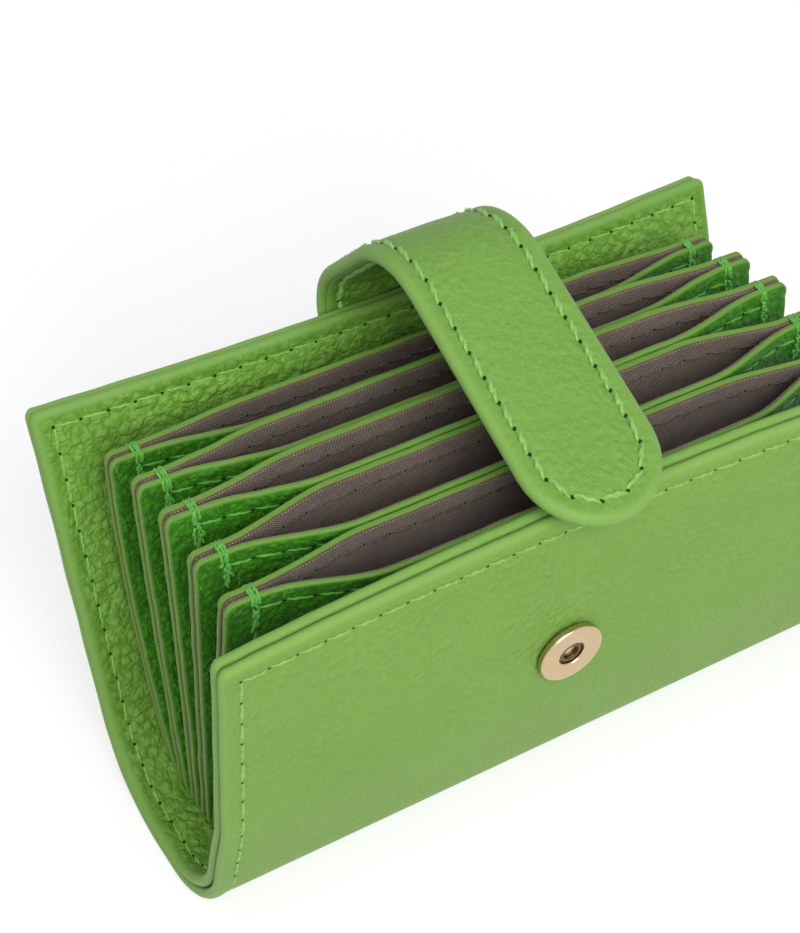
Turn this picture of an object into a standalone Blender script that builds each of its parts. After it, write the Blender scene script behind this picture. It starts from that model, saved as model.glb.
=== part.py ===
"""Accordion card holder with five lined pockets, a folding cover and a strap with a snap.

The holder stands open on the flat of its bottom fold. X runs along its width, +Y from the
front panel to the back panel and +Z up. The origin is the middle of that flat.
"""
import math
from functools import lru_cache

import bmesh
import bpy
from mathutils import Matrix, Vector

mm = 0.001

# Cover
cover_width = 114 * mm
front_run = 30 * mm
front_bend_radius = 40 * mm
front_lean = math.radians(10)
front_lower_run = 10.3 * mm
fold_radius = 19.4 * mm
heel_radius = 10 * mm
heel_turn = math.radians(25)
rest_flat = 8 * mm
back_lean = math.radians(23.4)
back_run = 49.6 * mm
cover_corner = 1.5 * mm
front_bow = 2.3 * mm
back_bow = 2 * mm
cover_leather = 1.6 * mm
lining_leather = 1.6 * mm
layer_gap = 0.2 * mm
rim_round = 0.4 * mm
seat_gap = 0.3 * mm

# Boards between the cover's layers
board_thickness = 0.8 * mm
board_clearance = 0.2 * mm
board_margin = 7 * mm
board_past_run = 6 * mm
front_board_height = front_run + board_past_run
back_board_height = 34 * mm

# Pockets, counted from the back
pocket_width = 101.4 * mm
pocket_leather = 0.85 * mm
pocket_cloth = 0.2 * mm
cloth_gap = 0.2 * mm
cloth_inset = 0.5 * mm
tack_inset = 4.7 * mm
meeting_width = 56 * mm
root_first = -6.1 * mm
root_pitch = 3.2 * mm
mouth_first = -9.3 * mm
mouth_pitch = 8.35 * mm
mouth_below_rim = 2.3 * mm
mouth_drop_shares = (0.072, 0.027, 0, 0, 0)
bow_shares = (0.067, 0.01, -0.01, 0, 0)
meeting_shares = (0.54, 0.54, 0.49, 0.59)
lip_shares = (0.11, 0.07, 0, 0)
back_pocket_bulge = 1 * mm
front_pocket_bulge = 4.3 * mm
top_corner = 1.5 * mm
bottom_corner = 3 * mm
bottom_seam = 9 * mm
lip_depth_share = 0.2

# Strap
strap_width = 20.8 * mm
strap_leather = 1 * mm
strap_root_run = 16 * mm
strap_root_above = 1.6 * mm
strap_root_radius = 10.7 * mm
strap_rise_heading = math.radians(131)
strap_top_radius = 15 * mm
strap_end_heading = math.radians(198.3)
strap_over_rim = 2.4 * mm
strap_overhang = 3.8 * mm
strap_tip_turn = math.radians(80)
strap_root_x = -0.4 * mm
strap_tip_x = -1.3 * mm

# Snap
snap_x = -4.5 * mm
snap_height = 37.6 * mm
socket_radius = 5 * mm
socket_height = 1.2 * mm
socket_hole = 2 * mm
socket_floor = 0.3 * mm
spring_radius = 1.7 * mm
spring_bore = 1.2 * mm
spring_height = 0.4 * mm
spring_clearance = 0.1 * mm
rivet_post = 1.5 * mm
rivet_flange = 3.2 * mm
rivet_thickness = 0.5 * mm
rivet_clearance = 0.3 * mm
stud_radius = 3.8 * mm
stud_base = 0.7 * mm
stud_nub = 0.8 * mm
stud_nub_height = 0.7 * mm
cap_radius = 3.4 * mm
cap_thickness = 0.35 * mm
cap_post = 1 * mm
cap_clearance = 0.1 * mm
snap_from_tip = 14 * mm
metal_round = 0.3 * mm
turned_steps = 20
cutter_overrun = 0.5 * mm

# Looks
green = (0.235, 0.43, 0.105)
deep_green = (0.15, 0.3, 0.06)
strap_green = (0.2, 0.4, 0.08)
taupe = (0.1, 0.065, 0.052)
gold = (0.61, 0.45, 0.26)
steel = (0.55, 0.55, 0.55)
grey_board = (0.3, 0.28, 0.25)

cover_thickness = cover_leather + layer_gap + lining_leather
strap_thickness = 2 * strap_leather + layer_gap
seam_half = pocket_leather + cloth_gap + pocket_cloth
pocket_count = len(mouth_drop_shares)
cover_half = cover_width / 2
pocket_half = pocket_width / 2


def walk(start, heading, moves, distance):
    """Place and heading at a distance along straight runs and left-hand arcs."""
    y, z = start
    for kind, size, turn in moves:
        length = size if kind == "run" else size * abs(turn)
        part = min(max(distance, 0), length)
        if kind == "run":
            y += part * math.cos(heading)
            z += part * math.sin(heading)
        else:
            bend = turn * part / length
            y += size * (math.sin(heading + bend) - math.sin(heading))
            z -= size * (math.cos(heading + bend) - math.cos(heading))
            heading += bend
        distance -= length
        if distance <= 0:
            break
    if distance > 0:
        y += distance * math.cos(heading)
        z += distance * math.sin(heading)
    return y, z, heading


def total_length(moves):
    return sum(size if kind == "run" else size * abs(turn) for kind, size, turn in moves)


front_moves = [
    ("run", front_run, 0),
    ("arc", front_bend_radius, front_lean),
    ("run", front_lower_run, 0),
]
half_pi = math.pi / 2
fold_moves = [
    ("arc", fold_radius, half_pi - front_lean - heel_turn),
    ("arc", heel_radius, heel_turn),
    ("run", rest_flat, 0),
    ("arc", heel_radius, heel_turn),
    ("arc", fold_radius, half_pi - back_lean - heel_turn),
]
back_moves = [("run", back_run, 0)]
cover_moves = front_moves + fold_moves + back_moves
front_end = total_length(front_moves)
fold_end = front_end + total_length(fold_moves)
cover_end = fold_end + back_run
flat_middle = front_end + total_length(fold_moves[:2]) + rest_flat / 2
middle_y, middle_z = walk((0, 0), -half_pi, cover_moves, flat_middle)[:2]
cover_start = (-middle_y, -middle_z)
mouth_height = cover_start[1] - mouth_below_rim


def cover_bow(x, distance):
    """How far the middle of a panel's free edge leans towards the pockets."""
    across = 1 - (x / cover_half) ** 2
    front_share = max(0, 1 - distance / front_run)
    back_share = max(0, 1 - (cover_end - distance) / back_run)
    return across * (front_bow * front_share ** 2 - back_bow * back_share ** 2)


def cover_point(x, distance, depth):
    y, z, heading = walk(cover_start, -half_pi, cover_moves, distance)
    y += cover_bow(x, distance) - depth * math.sin(heading)
    return Vector((x, y, z + depth * math.cos(heading)))


def steps_between(low, high, count):
    return [low + (high - low) * step / count for step in range(count + 1)]


def make_material(name, colour, roughness, metallic=0.0):
    material = bpy.data.materials.new(name)
    material.use_nodes = True
    shader = material.node_tree.nodes["Principled BSDF"]
    shader.inputs["Base Color"].default_value = (*colour, 1)
    shader.inputs["Roughness"].default_value = roughness
    shader.inputs["Metallic"].default_value = metallic
    material.diffuse_color = (*colour, 1)
    return material


def add_object(name, mesh_data, pivot, material):
    """Turns a bmesh into an object whose origin is its pivot."""
    bmesh.ops.recalc_face_normals(mesh_data, faces=mesh_data.faces)
    bmesh.ops.translate(mesh_data, verts=mesh_data.verts, vec=-pivot)
    mesh = bpy.data.meshes.new(name)
    mesh_data.to_mesh(mesh)
    mesh_data.free()
    if material:
        mesh.materials.append(material)
    new_object = bpy.data.objects.new(name, mesh)
    new_object.location = pivot
    bpy.context.collection.objects.link(new_object)
    return new_object


def solid_between(near_rows, far_rows):
    """A closed body between two grids of points with the same rows and columns."""
    body = bmesh.new()
    near = [[body.verts.new(point) for point in row] for row in near_rows]
    far = [[body.verts.new(point) for point in row] for row in far_rows]
    last_row = len(near) - 1
    last_column = len(near[0]) - 1
    for row in range(last_row):
        for column in range(last_column):
            for grid in (near, far):
                body.faces.new((grid[row][column], grid[row][column + 1],
                                grid[row + 1][column + 1], grid[row + 1][column]))
        for column in (0, last_column):
            body.faces.new((near[row][column], near[row + 1][column],
                            far[row + 1][column], far[row][column]))
    for column in range(last_column):
        for row in (0, last_row):
            body.faces.new((near[row][column], near[row][column + 1],
                            far[row][column + 1], far[row][column]))
    return body


def smooth_faces(new_object, angle):
    new_object.data.shade_smooth()
    new_object.data.set_sharp_from_angle(angle=angle)


def round_rims(new_object, width):
    bevel = new_object.modifiers.new("rounded rims", "BEVEL")
    bevel.width = width
    bevel.segments = 2
    bevel.limit_method = "ANGLE"
    bevel.angle_limit = math.radians(50)


def cut_with(new_object, cutter):
    cutter.hide_render = True
    cutter.display_type = "WIRE"
    boolean = new_object.modifiers.new(cutter.name, "BOOLEAN")
    boolean.operation = "DIFFERENCE"
    boolean.solver = "EXACT"
    boolean.object = cutter


def cover_rows(low, high, count, corners):
    """Distances along the cover with the half width at each, rounded at free edges."""
    rows = [(distance, cover_half) for distance in steps_between(low, high, count)]
    rounded = []
    for turn in (0, math.pi / 4, half_pi):
        inset = cover_corner * (1 - math.cos(turn))
        rounded.append((inset, cover_half - cover_corner * (1 - math.sin(turn))))
    if corners == "low":
        rows = [(low + inset, half) for inset, half in rounded] + rows[1:]
    if corners == "high":
        rows = rows[:-1] + [(high - inset, half) for inset, half in reversed(rounded)]
    return rows


def cover_sheet(name, rows, column_count, depths, pivot, material):
    grids = []
    for depth in depths:
        grids.append([[cover_point(half * share, distance, depth)
                       for share in steps_between(-1, 1, column_count)]
                      for distance, half in rows])
    sheet = add_object(name, solid_between(*grids), pivot, material)
    smooth_faces(sheet, math.radians(40))
    return sheet


def make_cover(leather, lining, board):
    """Two layers of leather, each a front, a fold and a back, with boards in the panels."""
    outer_depths = (0, cover_leather)
    inner_depths = (cover_leather + layer_gap, cover_thickness)
    fold_low = front_end + seat_gap
    fold_high = fold_end - seat_gap
    sections = [
        ("front", cover_rows(0, front_end, 6, "low"), 8, fold_pivot),
        ("fold", cover_rows(fold_low, fold_high, 11, ""), 3, Vector()),
        ("back", cover_rows(fold_end, cover_end, 6, "high"), 8, Vector()),
    ]
    made = {}
    for section, rows, column_count, pivot in sections:
        for layer, depths, material in (("cover", outer_depths, leather),
                                        ("lining", inner_depths, lining)):
            name = f"{layer}_{section}"
            made[name] = cover_sheet(name, rows, column_count, depths, pivot, material)
            round_rims(made[name], rim_round)

    board_low = cover_leather + layer_gap / 2
    board_depths = (board_low + board_clearance, board_low + board_clearance + board_thickness)
    recess_depths = (board_low, board_depths[1] + board_clearance)
    board_ranges = {
        "front": (board_margin, board_margin + front_board_height, fold_pivot),
        "back": (cover_end - board_margin - back_board_height, cover_end - board_margin, Vector()),
    }
    for section, (low, high, pivot) in board_ranges.items():
        half = cover_half - board_margin
        rows = [(distance, half) for distance in steps_between(low, high, 4)]
        made[f"board_{section}"] = cover_sheet(
            f"board_{section}", rows, 6, board_depths, pivot, board)
        room = half + board_clearance
        rows = [(distance, room)
                for distance in steps_between(low - board_clearance, high + board_clearance, 4)]
        recess = cover_sheet(f"recess_{section}", rows, 6, recess_depths, pivot, None)
        cut_with(made[f"lining_{section}"], recess)
    return made


@lru_cache
def pocket_root(number):
    """Middle of a pocket's bottom seam, resting just above the lining."""
    y = root_first + root_pitch * (pocket_count - number)
    floor = 0
    for side in (-seam_half, 0, seam_half):
        floor = max(floor, lining_height(y + side))
    return y, floor + seat_gap


def lining_height(y):
    """Height of the lining's upper face in the fold, at a place along Y."""
    low, high = front_end, fold_end
    for _ in range(40):
        middle = (low + high) / 2
        if cover_point(cover_half, middle, cover_thickness).y < y:
            low = middle
        else:
            high = middle
    return cover_point(cover_half, low, cover_thickness).z


def pocket_top(number):
    y = mouth_first + mouth_pitch * (pocket_count - number)
    return y, mouth_height * (1 - mouth_drop_shares[number - 1])


def pocket_middle(number, z):
    """Y of a pocket's middle surface at a height."""
    (low_y, low_z), (high_y, high_z) = pocket_root(number), pocket_top(number)
    share = (z - low_z) / (high_z - low_z)
    bow = bow_shares[number - 1] * (high_z - low_z)
    return low_y + (high_y - low_y) * share + 4 * bow * share * (1 - share)


def ease(share):
    share = min(max(share, 0), 1)
    return share * share * (3 - 2 * share)


def meeting(number, z):
    """Y where a pocket and the next one forwards meet in the middle of their width."""
    behind = pocket_middle(number, z)
    ahead = pocket_middle(number + 1, z)
    return behind - meeting_shares[number - 1] * (behind - ahead)


def lip(pair, number, z):
    """How far a pocket's lip draws back from its neighbour at the top."""
    root_z, top_z = pocket_root(number)[1], pocket_top(number)[1]
    share = (z - root_z) / (top_z - root_z)
    return lip_shares[pair - 1] * mouth_pitch * ease((share - 1) / lip_depth_share + 1)


def face_offset(number, side, x, z):
    """Distance from a pocket's middle to its outer face, back (1) or front (-1)."""
    root_z, top_z = pocket_root(number)[1], pocket_top(number)[1]
    share = (z - root_z) / (top_z - root_z)
    middle = pocket_middle(number, z)
    if side > 0 and number == 1:
        offset = seam_half + back_pocket_bulge * share
    elif side > 0:
        offset = meeting(number - 1, z) - seat_gap / 2 - lip(number - 1, number, z) - middle
    elif number == pocket_count:
        offset = seam_half + front_pocket_bulge * share
    else:
        offset = middle - meeting(number, z) - seat_gap / 2 - lip(number, number, z)
    tack = pocket_half - tack_inset
    across = 1 - ease((abs(x) - meeting_width / 2) / (tack - meeting_width / 2))
    return seam_half + (offset - seam_half) * across * ease((z - root_z) / bottom_seam)


def pocket_point(number, side, inward, x, z):
    offset = max(face_offset(number, side, x, z) - inward, 0)
    return Vector((x, pocket_middle(number, z) + side * offset, z))


def pocket_columns():
    tack = pocket_half - tack_inset
    meet = meeting_width / 2
    half = [meet / 2] + steps_between(meet, tack, 3)
    return [-x for x in reversed(half)] + [0] + half


def pocket_rows(number, inset):
    """Heights up a pocket with the half width at each, cut at the corners."""
    low, high = pocket_root(number)[1] + inset, pocket_top(number)[1] - inset
    half = pocket_half - inset
    rows = [(low, half - bottom_corner)]
    rows += [(z, half) for z in steps_between(low + bottom_corner, high - top_corner, 4)]
    return rows + [(high, half - top_corner)]


def pocket_grid(number, side, inward, inset):
    return [[pocket_point(number, side, inward, x, z)
             for x in [-half] + pocket_columns() + [half]]
            for z, half in pocket_rows(number, inset)]


def make_pocket(number, leather, cloth):
    root_y, root_z = pocket_root(number)
    pivot = Vector((0, root_y, root_z))
    for side, word in ((1, "back"), (-1, "front")):
        outer = pocket_grid(number, side, 0, 0)
        inner = pocket_grid(number, side, pocket_leather, 0)
        panel = add_object(f"pocket_{number}_{word}", solid_between(outer, inner), pivot, leather)
        smooth_faces(panel, math.radians(40))
    ply = pocket_leather + cloth_gap
    pouch_body = solid_between(pocket_grid(number, 1, ply, cloth_inset),
                               pocket_grid(number, -1, ply, cloth_inset))
    pouch = add_object(f"pocket_{number}_lining", pouch_body, pivot, cloth)
    inside = add_object(f"card_space_{number}", card_space(number), pivot, None)
    cut_with(pouch, inside)
    smooth_faces(pouch, math.radians(40))


def card_space(number):
    """The room between a pocket's plies, open at the mouth."""
    low, high = pocket_root(number)[1], pocket_top(number)[1]
    columns = pocket_columns()
    heights = steps_between(low + bottom_seam / 3, high, 4) + [high + cutter_overrun]
    space = bmesh.new()
    plies = []
    for side in (1, -1):
        grid = [[space.verts.new(pocket_point(number, side, seam_half, x, z))
                 for x in columns[1:-1]] for z in heights]
        plies.append(grid)
    ends = [[space.verts.new((x, pocket_middle(number, z), z)) for z in heights]
            for x in (columns[0], columns[-1])]
    foot_z = low + bottom_seam / 6
    foot = [space.verts.new((x, pocket_middle(number, foot_z), foot_z)) for x in columns]
    full = []
    for grid in plies:
        rows = [[ends[0][row]] + grid[row] + [ends[1][row]] for row in range(len(heights))]
        full.append([foot] + rows)
    for rows in full:
        for low_row, high_row in zip(rows, rows[1:]):
            for column in range(len(columns) - 1):
                space.faces.new((low_row[column], low_row[column + 1],
                                 high_row[column + 1], high_row[column]))
    space.faces.new([*full[0][-1], *reversed(full[1][-1][1:-1])])
    return space


# The strap's outer face starts on the outside of the back panel and arches forwards
strap_foot = cover_end - strap_root_above - strap_root_run
strap_low = cover_point(strap_root_x, strap_foot, -(seat_gap + strap_thickness))
strap_high = cover_point(strap_root_x, strap_foot + strap_root_run, -(seat_gap + strap_thickness))
strap_heading = math.atan2(strap_high.z - strap_low.z, strap_high.y - strap_low.y)
strap_turns = [
    ("run", strap_root_run, 0),
    ("arc", strap_root_radius, strap_rise_heading - strap_heading),
    ("arc", strap_top_radius, strap_end_heading - strap_rise_heading),
]

# The rise is as long as it takes to pass over the front's rim
bend_y, bend_z = walk((strap_low.y, strap_low.z), strap_heading, strap_turns,
                      total_length(strap_turns))[:2]
end_slope = math.tan(strap_end_heading)
under_rim = bend_z + (cover_start[0] - bend_y) * end_slope + strap_thickness / math.cos(strap_end_heading)
strap_rise_run = ((cover_start[1] + strap_over_rim - under_rim)
                  / (math.sin(strap_rise_heading) - math.cos(strap_rise_heading) * end_slope))
bend_y += strap_rise_run * math.cos(strap_rise_heading)
strap_end_run = (cover_start[0] - strap_overhang - bend_y) / math.cos(strap_end_heading)
strap_moves = [
    *strap_turns[:2],
    ("run", strap_rise_run, 0),
    strap_turns[2],
    ("run", strap_end_run, 0),
]
strap_end = total_length(strap_moves)
strap_lift_at = strap_root_run
strap_bend_at = strap_end - strap_end_run
strap_half = strap_width / 2


def strap_point(across, distance, depth):
    y, z, heading = walk((strap_low.y, strap_low.z), strap_heading, strap_moves, distance)
    centre_x = strap_root_x + (strap_tip_x - strap_root_x) * distance / strap_end
    return Vector((centre_x + across,
                   y - depth * math.sin(heading),
                   z + depth * math.cos(heading)))


def strap_rows(low, high, count, round_end):
    rows = [(distance, strap_half) for distance in steps_between(low, high, count)]
    if round_end:
        straight = [row for row in rows if row[0] < high - strap_half]
        ends = [(high - strap_half + strap_half * math.sin(turn), strap_half * math.cos(turn))
                for turn in steps_between(0, strap_tip_turn, 6)]
        rows = straight + ends
    return rows


def make_strap(leather, lining):
    sections = [
        ("root", strap_rows(0, strap_lift_at, 3, False), Vector()),
        ("arch", strap_rows(strap_lift_at + seat_gap, strap_bend_at - seat_gap / 2, 9, False),
         lift_pivot),
        ("tip", strap_rows(strap_bend_at + seat_gap / 2, strap_end, 4, True), bend_pivot),
    ]
    layers = [
        ("strap", (0, strap_leather), leather),
        ("strap_lining", (strap_leather + layer_gap, strap_thickness), lining),
    ]
    made = {}
    for section, rows, pivot in sections:
        for layer, depths, material in layers:
            grids = [[[strap_point(half * share, distance, depth)
                       for share in steps_between(-1, 1, 3)]
                      for distance, half in rows]
                     for depth in depths]
            name = f"{layer}_{section}"
            made[name] = add_object(name, solid_between(*grids), pivot, material)
            round_rims(made[name], rim_round)
            smooth_faces(made[name], math.radians(40))
    return made


def turned(name, profile, place, pivot, material):
    """A round piece: a closed profile of radius and height, spun about its axis."""
    body = bmesh.new()
    corners = [body.verts.new((radius, 0, height)) for radius, height in profile]
    edges = [body.edges.new(pair) for pair in zip(corners, corners[1:])]
    if profile[0][0] > 0:
        edges.append(body.edges.new((corners[-1], corners[0])))
    bmesh.ops.spin(body, geom=corners + edges, cent=(0, 0, 0), axis=(0, 0, 1),
                   angle=2 * math.pi, steps=turned_steps, use_merge=True)
    bmesh.ops.remove_doubles(body, verts=body.verts, dist=metal_round / 100)
    bmesh.ops.transform(body, matrix=place, verts=body.verts)
    piece = add_object(name, body, pivot, material)
    smooth_faces(piece, math.radians(35))
    return piece


def bar(radius, low, high):
    return [(0, low), (radius, low), (radius, high), (0, high)]


def placed(point, outward):
    """A frame whose Z axis points outward from a face."""
    turn = Vector((0, 0, 1)).rotation_difference(outward).to_matrix().to_4x4()
    return Matrix.Translation(point) @ turn


def make_socket(cover, gilt, plain):
    """The half of the snap on the front panel: socket, spring ring and rivet."""
    seat = cover_point(snap_x, cover_start[1] - snap_height, 0)
    place = placed(seat, Vector((0, -1, 0)))
    top = seat_gap + socket_height
    turned("snap_socket", [
        (0, seat_gap),
        (socket_radius, seat_gap),
        (socket_radius, top - metal_round),
        (socket_radius - metal_round, top),
        (socket_hole + metal_round, top),
        (socket_hole, top - metal_round),
        (socket_hole, seat_gap + socket_floor),
        (0, seat_gap + socket_floor),
    ], place, fold_pivot, gilt)
    ring_low = seat_gap + socket_floor + spring_clearance
    turned("snap_spring", [
        (spring_bore, ring_low),
        (spring_radius, ring_low),
        (spring_radius, ring_low + spring_height),
        (spring_bore, ring_low + spring_height),
    ], place, fold_pivot, plain)
    flange_low = -(cover_leather + layer_gap) - rivet_thickness
    flange_top = flange_low + rivet_thickness
    turned("socket_rivet", [
        (0, flange_low),
        (rivet_flange, flange_low),
        (rivet_flange, flange_top),
        (rivet_post, flange_top),
        (rivet_post, 0),
        (0, 0),
    ], place, fold_pivot, plain)
    hole = turned("post_hole", bar(rivet_post + rivet_clearance, -cover_leather - layer_gap / 2,
                                   cutter_overrun), place, fold_pivot, None)
    cut_with(cover["cover_front"], hole)
    room = turned("flange_room", bar(rivet_flange + rivet_clearance,
                                     flange_low - board_thickness - board_clearance,
                                     -cover_leather - layer_gap / 2), place, fold_pivot, None)
    cut_with(cover["board_front"], room)


def make_stud(strap, gilt, plain):
    """The half of the snap under the strap's tip, in line with the socket: stud and cap."""
    distance = strap_end - snap_from_tip
    across = snap_x - strap_point(0, distance, 0).x
    top = strap_point(across, distance, 0)
    under = strap_point(across, distance, strap_thickness)
    outward = (under - top).normalized()
    place = placed(under, outward)
    base_top = seat_gap + stud_base
    turned("snap_stud", [
        (0, seat_gap),
        (stud_radius, seat_gap),
        (stud_radius, base_top - metal_round),
        (stud_radius - metal_round, base_top),
        (stud_nub, base_top),
        (stud_nub, base_top + stud_nub_height),
        (0, base_top + stud_nub_height),
    ], place, bend_pivot, gilt)
    cap_low = -strap_leather
    cap_high = cap_low + cap_thickness
    turned("stud_cap", [
        (0, cap_low),
        (cap_radius, cap_low),
        (cap_radius, cap_high),
        (cap_post, cap_high),
        (cap_post, 0),
        (0, 0),
    ], place, bend_pivot, plain)
    room_low = cap_low - layer_gap / 2
    room_high = cap_high + cap_clearance
    room = turned("cap_room", [
        (0, room_low),
        (cap_radius + cap_clearance, room_low),
        (cap_radius + cap_clearance, room_high),
        (cap_post + cap_clearance, room_high),
        (cap_post + cap_clearance, cutter_overrun),
        (0, cutter_overrun),
    ], place, bend_pivot, None)
    cut_with(strap["strap_lining_tip"], room)


for old_object in list(bpy.data.objects):
    bpy.data.objects.remove(old_object)

fold_pivot = Vector((0, 0, cover_thickness / 2))
lift_pivot = strap_point(0, strap_lift_at, strap_thickness / 2)
lift_pivot.x = 0
bend_pivot = strap_point(0, strap_bend_at, strap_thickness / 2)
bend_pivot.x = 0

green_leather = make_material("green pebbled leather", green, 0.55)
lining_skin = make_material("green lining leather", deep_green, 0.6)
strap_skin = make_material("strap leather", strap_green, 0.55)
taupe_cloth = make_material("taupe woven cloth", taupe, 0.8)
gilt_metal = make_material("gilt metal", gold, 0.25, 1.0)
plain_metal = make_material("plain steel", steel, 0.35, 1.0)
board_stock = make_material("grey board", grey_board, 0.9)

cover_pieces = make_cover(green_leather, lining_skin, board_stock)
for pocket_number in range(1, pocket_count + 1):
    make_pocket(pocket_number, green_leather, taupe_cloth)
strap_pieces = make_strap(strap_skin, lining_skin)
make_socket(cover_pieces, gilt_metal, plain_metal)
make_stud(strap_pieces, gilt_metal, plain_metal)
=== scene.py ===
import math
import random
import bpy
from mathutils import Matrix, Vector, noise


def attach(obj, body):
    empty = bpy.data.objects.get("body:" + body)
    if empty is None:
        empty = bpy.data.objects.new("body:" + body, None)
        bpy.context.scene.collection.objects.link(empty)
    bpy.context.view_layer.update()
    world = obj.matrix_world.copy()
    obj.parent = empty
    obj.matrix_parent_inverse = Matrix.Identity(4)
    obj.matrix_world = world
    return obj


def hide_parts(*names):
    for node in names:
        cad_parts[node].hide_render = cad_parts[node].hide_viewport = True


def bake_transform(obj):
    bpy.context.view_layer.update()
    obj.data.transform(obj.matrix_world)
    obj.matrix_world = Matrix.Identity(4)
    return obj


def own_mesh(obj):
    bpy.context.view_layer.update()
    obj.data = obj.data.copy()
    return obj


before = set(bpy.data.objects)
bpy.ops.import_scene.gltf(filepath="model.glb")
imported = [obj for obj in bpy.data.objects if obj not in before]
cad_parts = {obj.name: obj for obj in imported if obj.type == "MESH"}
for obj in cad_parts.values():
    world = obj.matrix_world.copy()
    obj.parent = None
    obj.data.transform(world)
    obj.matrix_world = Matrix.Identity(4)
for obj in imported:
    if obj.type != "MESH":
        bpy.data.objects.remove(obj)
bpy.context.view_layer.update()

mm = 0.001
up = Vector((0, 0, 1))
randomMaker = random.Random(7)

# Camera: fitted to the photo's own perspective
cameraValues = {
    "place": (-0.127521, -0.161735, 0.257738),
    "turn": (44.5565, -2.7731, -30.9512),
    "lens": 81.199,
    "sensor": 36,
    "clipStart": 0.01,
}

lamps = {
    "front light": {"place": (-0.15, -0.8, 0.75), "size": 0.8, "power": 9.2},
    "top light": {"place": (-0.35, 0.05, 0.8), "size": 0.6, "power": 1.2},
}
studio = {
    "aim": (0, 0, 0.03), "worldStrength": 0.3,
    "floorColour": (0.6, 0.6, 0.61), "floorGlow": 0.57, "floorSize": 3, "floorHeight": -0.0001,
}

# Colours as the photo shows them in plain light, in linear values; the crease shades, highlights, needle hole
# colour and spring colour among them are painted shade and light
colours = {
    "leather": (0.217, 0.4, 0.071),
    "leatherCreaseShade": (0.185, 0.36, 0.06),
    "leatherEdge": (0.26, 0.47, 0.11),
    "lining": (0.195, 0.415, 0.052),
    "liningCreaseShade": (0.1, 0.26, 0.02),
    "strap": (0.182, 0.37, 0.062),
    "strapLine": (0.22, 0.43, 0.09),
    "pocket": (0.055, 0.27, 0.008),
    "pocketCreaseShade": (0.02, 0.12, 0.003),
    "rawEdge": (0.19, 0.36, 0.065),
    "flesh": (0.19, 0.13, 0.07),
    "fibre": (0.22, 0.55, 0.1),
    "thread": (0.09, 0.35, 0.025),
    "threadHighlight": (0.4, 0.68, 0.15),
    "deepThread": (0.035, 0.3, 0.01),
    "deepThreadHighlight": (0.17, 0.6, 0.06),
    "hole": (0.006, 0.03, 0.003),
    "cloth": (0.096, 0.064, 0.044),
    "clothYarnHighlight": (0.56, 0.43, 0.37),
    "clothThread": (0.04, 0.026, 0.022),
    "gold": (0.64, 0.47, 0.29),
    # Spring metal darkened as painted shade of the socket's hole
    "bronze": (0.16, 0.1, 0.06),
    "steel": (0.55, 0.55, 0.55),
    "board": (0.3, 0.27, 0.22),
}


def walk(start, heading, moves, distance):
    # Place and heading after a distance along straight runs and left-hand arcs
    y, z = start
    for kind, size, turn in moves:
        length = size if kind == "run" else size * abs(turn)
        part = min(max(distance, 0), length)
        if kind == "run":
            y += part * math.cos(heading)
            z += part * math.sin(heading)
        else:
            bend = turn * part / length
            y += size * (math.sin(heading + bend) - math.sin(heading))
            z -= size * (math.cos(heading + bend) - math.cos(heading))
            heading += bend
        distance -= length
        if distance <= 0:
            break
    if distance > 0:
        y += distance * math.cos(heading)
        z += distance * math.sin(heading)
    return y, z, heading


def totalLength(moves):
    return sum(size if kind == "run" else size * abs(turn) for kind, size, turn in moves)


def ease(share):
    share = min(max(share, 0), 1)
    return share * share * (3 - 2 * share)


def roundRim(inset, radius):
    # 0 at a rim, 1 once the rounding is passed
    inward = 1 - min(max(inset, 0) / radius, 1)
    return math.sqrt(max(0, 1 - inward * inward))


def dip(inset, place, width):
    return math.exp(-((inset - place) / width) ** 2)


def pucker(along, pitch):
    # 1 at a needle hole, falling to a third half way to the next
    return 0.65 + 0.35 * math.cos(2 * math.pi * along / pitch)


def evenPitch(length, pitch):
    # The pitch nearest to the wanted one that divides a row evenly
    return length / round(length / pitch)


def groove(values, inset, sewn, row):
    # How deep a row of stitches pulls the leather in, less the swelling beside it
    pulled = values["groove"] * sewn * dip(inset, row, values["grooveWidth"])
    return pulled - values["swell"] * dip(inset, values["swellAt"], values["swellWidth"])


def uneven(x, y, size, seed=0):
    # Hand-made irregularity, from -1 to 1
    return noise.noise(Vector((x / size, y / size, seed * 7.3)))


def edgeSpread(length, edgeSteps, spacing):
    # Distances that are close together at both edges and even between them
    last = edgeSteps[-1]
    count = max(1, round((length - 2 * last) / spacing))
    middle = [last + (length - 2 * last) * i / count for i in range(count + 1)]
    return edgeSteps[:-1] + middle + [length - step for step in reversed(edgeSteps[:-1])]


def addObject(name, data):
    piece = bpy.data.objects.new(name, data)
    bpy.context.collection.objects.link(piece)
    return piece


def deselectAll():
    bpy.ops.object.select_all(action="DESELECT")


def closeUp(piece, smoothAngle=180):
    # Faces outwards, smooth shading
    deselectAll()
    piece.select_set(True)
    bpy.context.view_layer.objects.active = piece
    bpy.ops.object.mode_set(mode="EDIT")
    bpy.ops.mesh.select_all(action="SELECT")
    bpy.ops.mesh.normals_make_consistent(inside=False)
    bpy.ops.object.mode_set(mode="OBJECT")
    if smoothAngle < 180:
        bpy.ops.object.shade_smooth_by_angle(angle=math.radians(smoothAngle))
    else:
        bpy.ops.object.shade_smooth()


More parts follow.
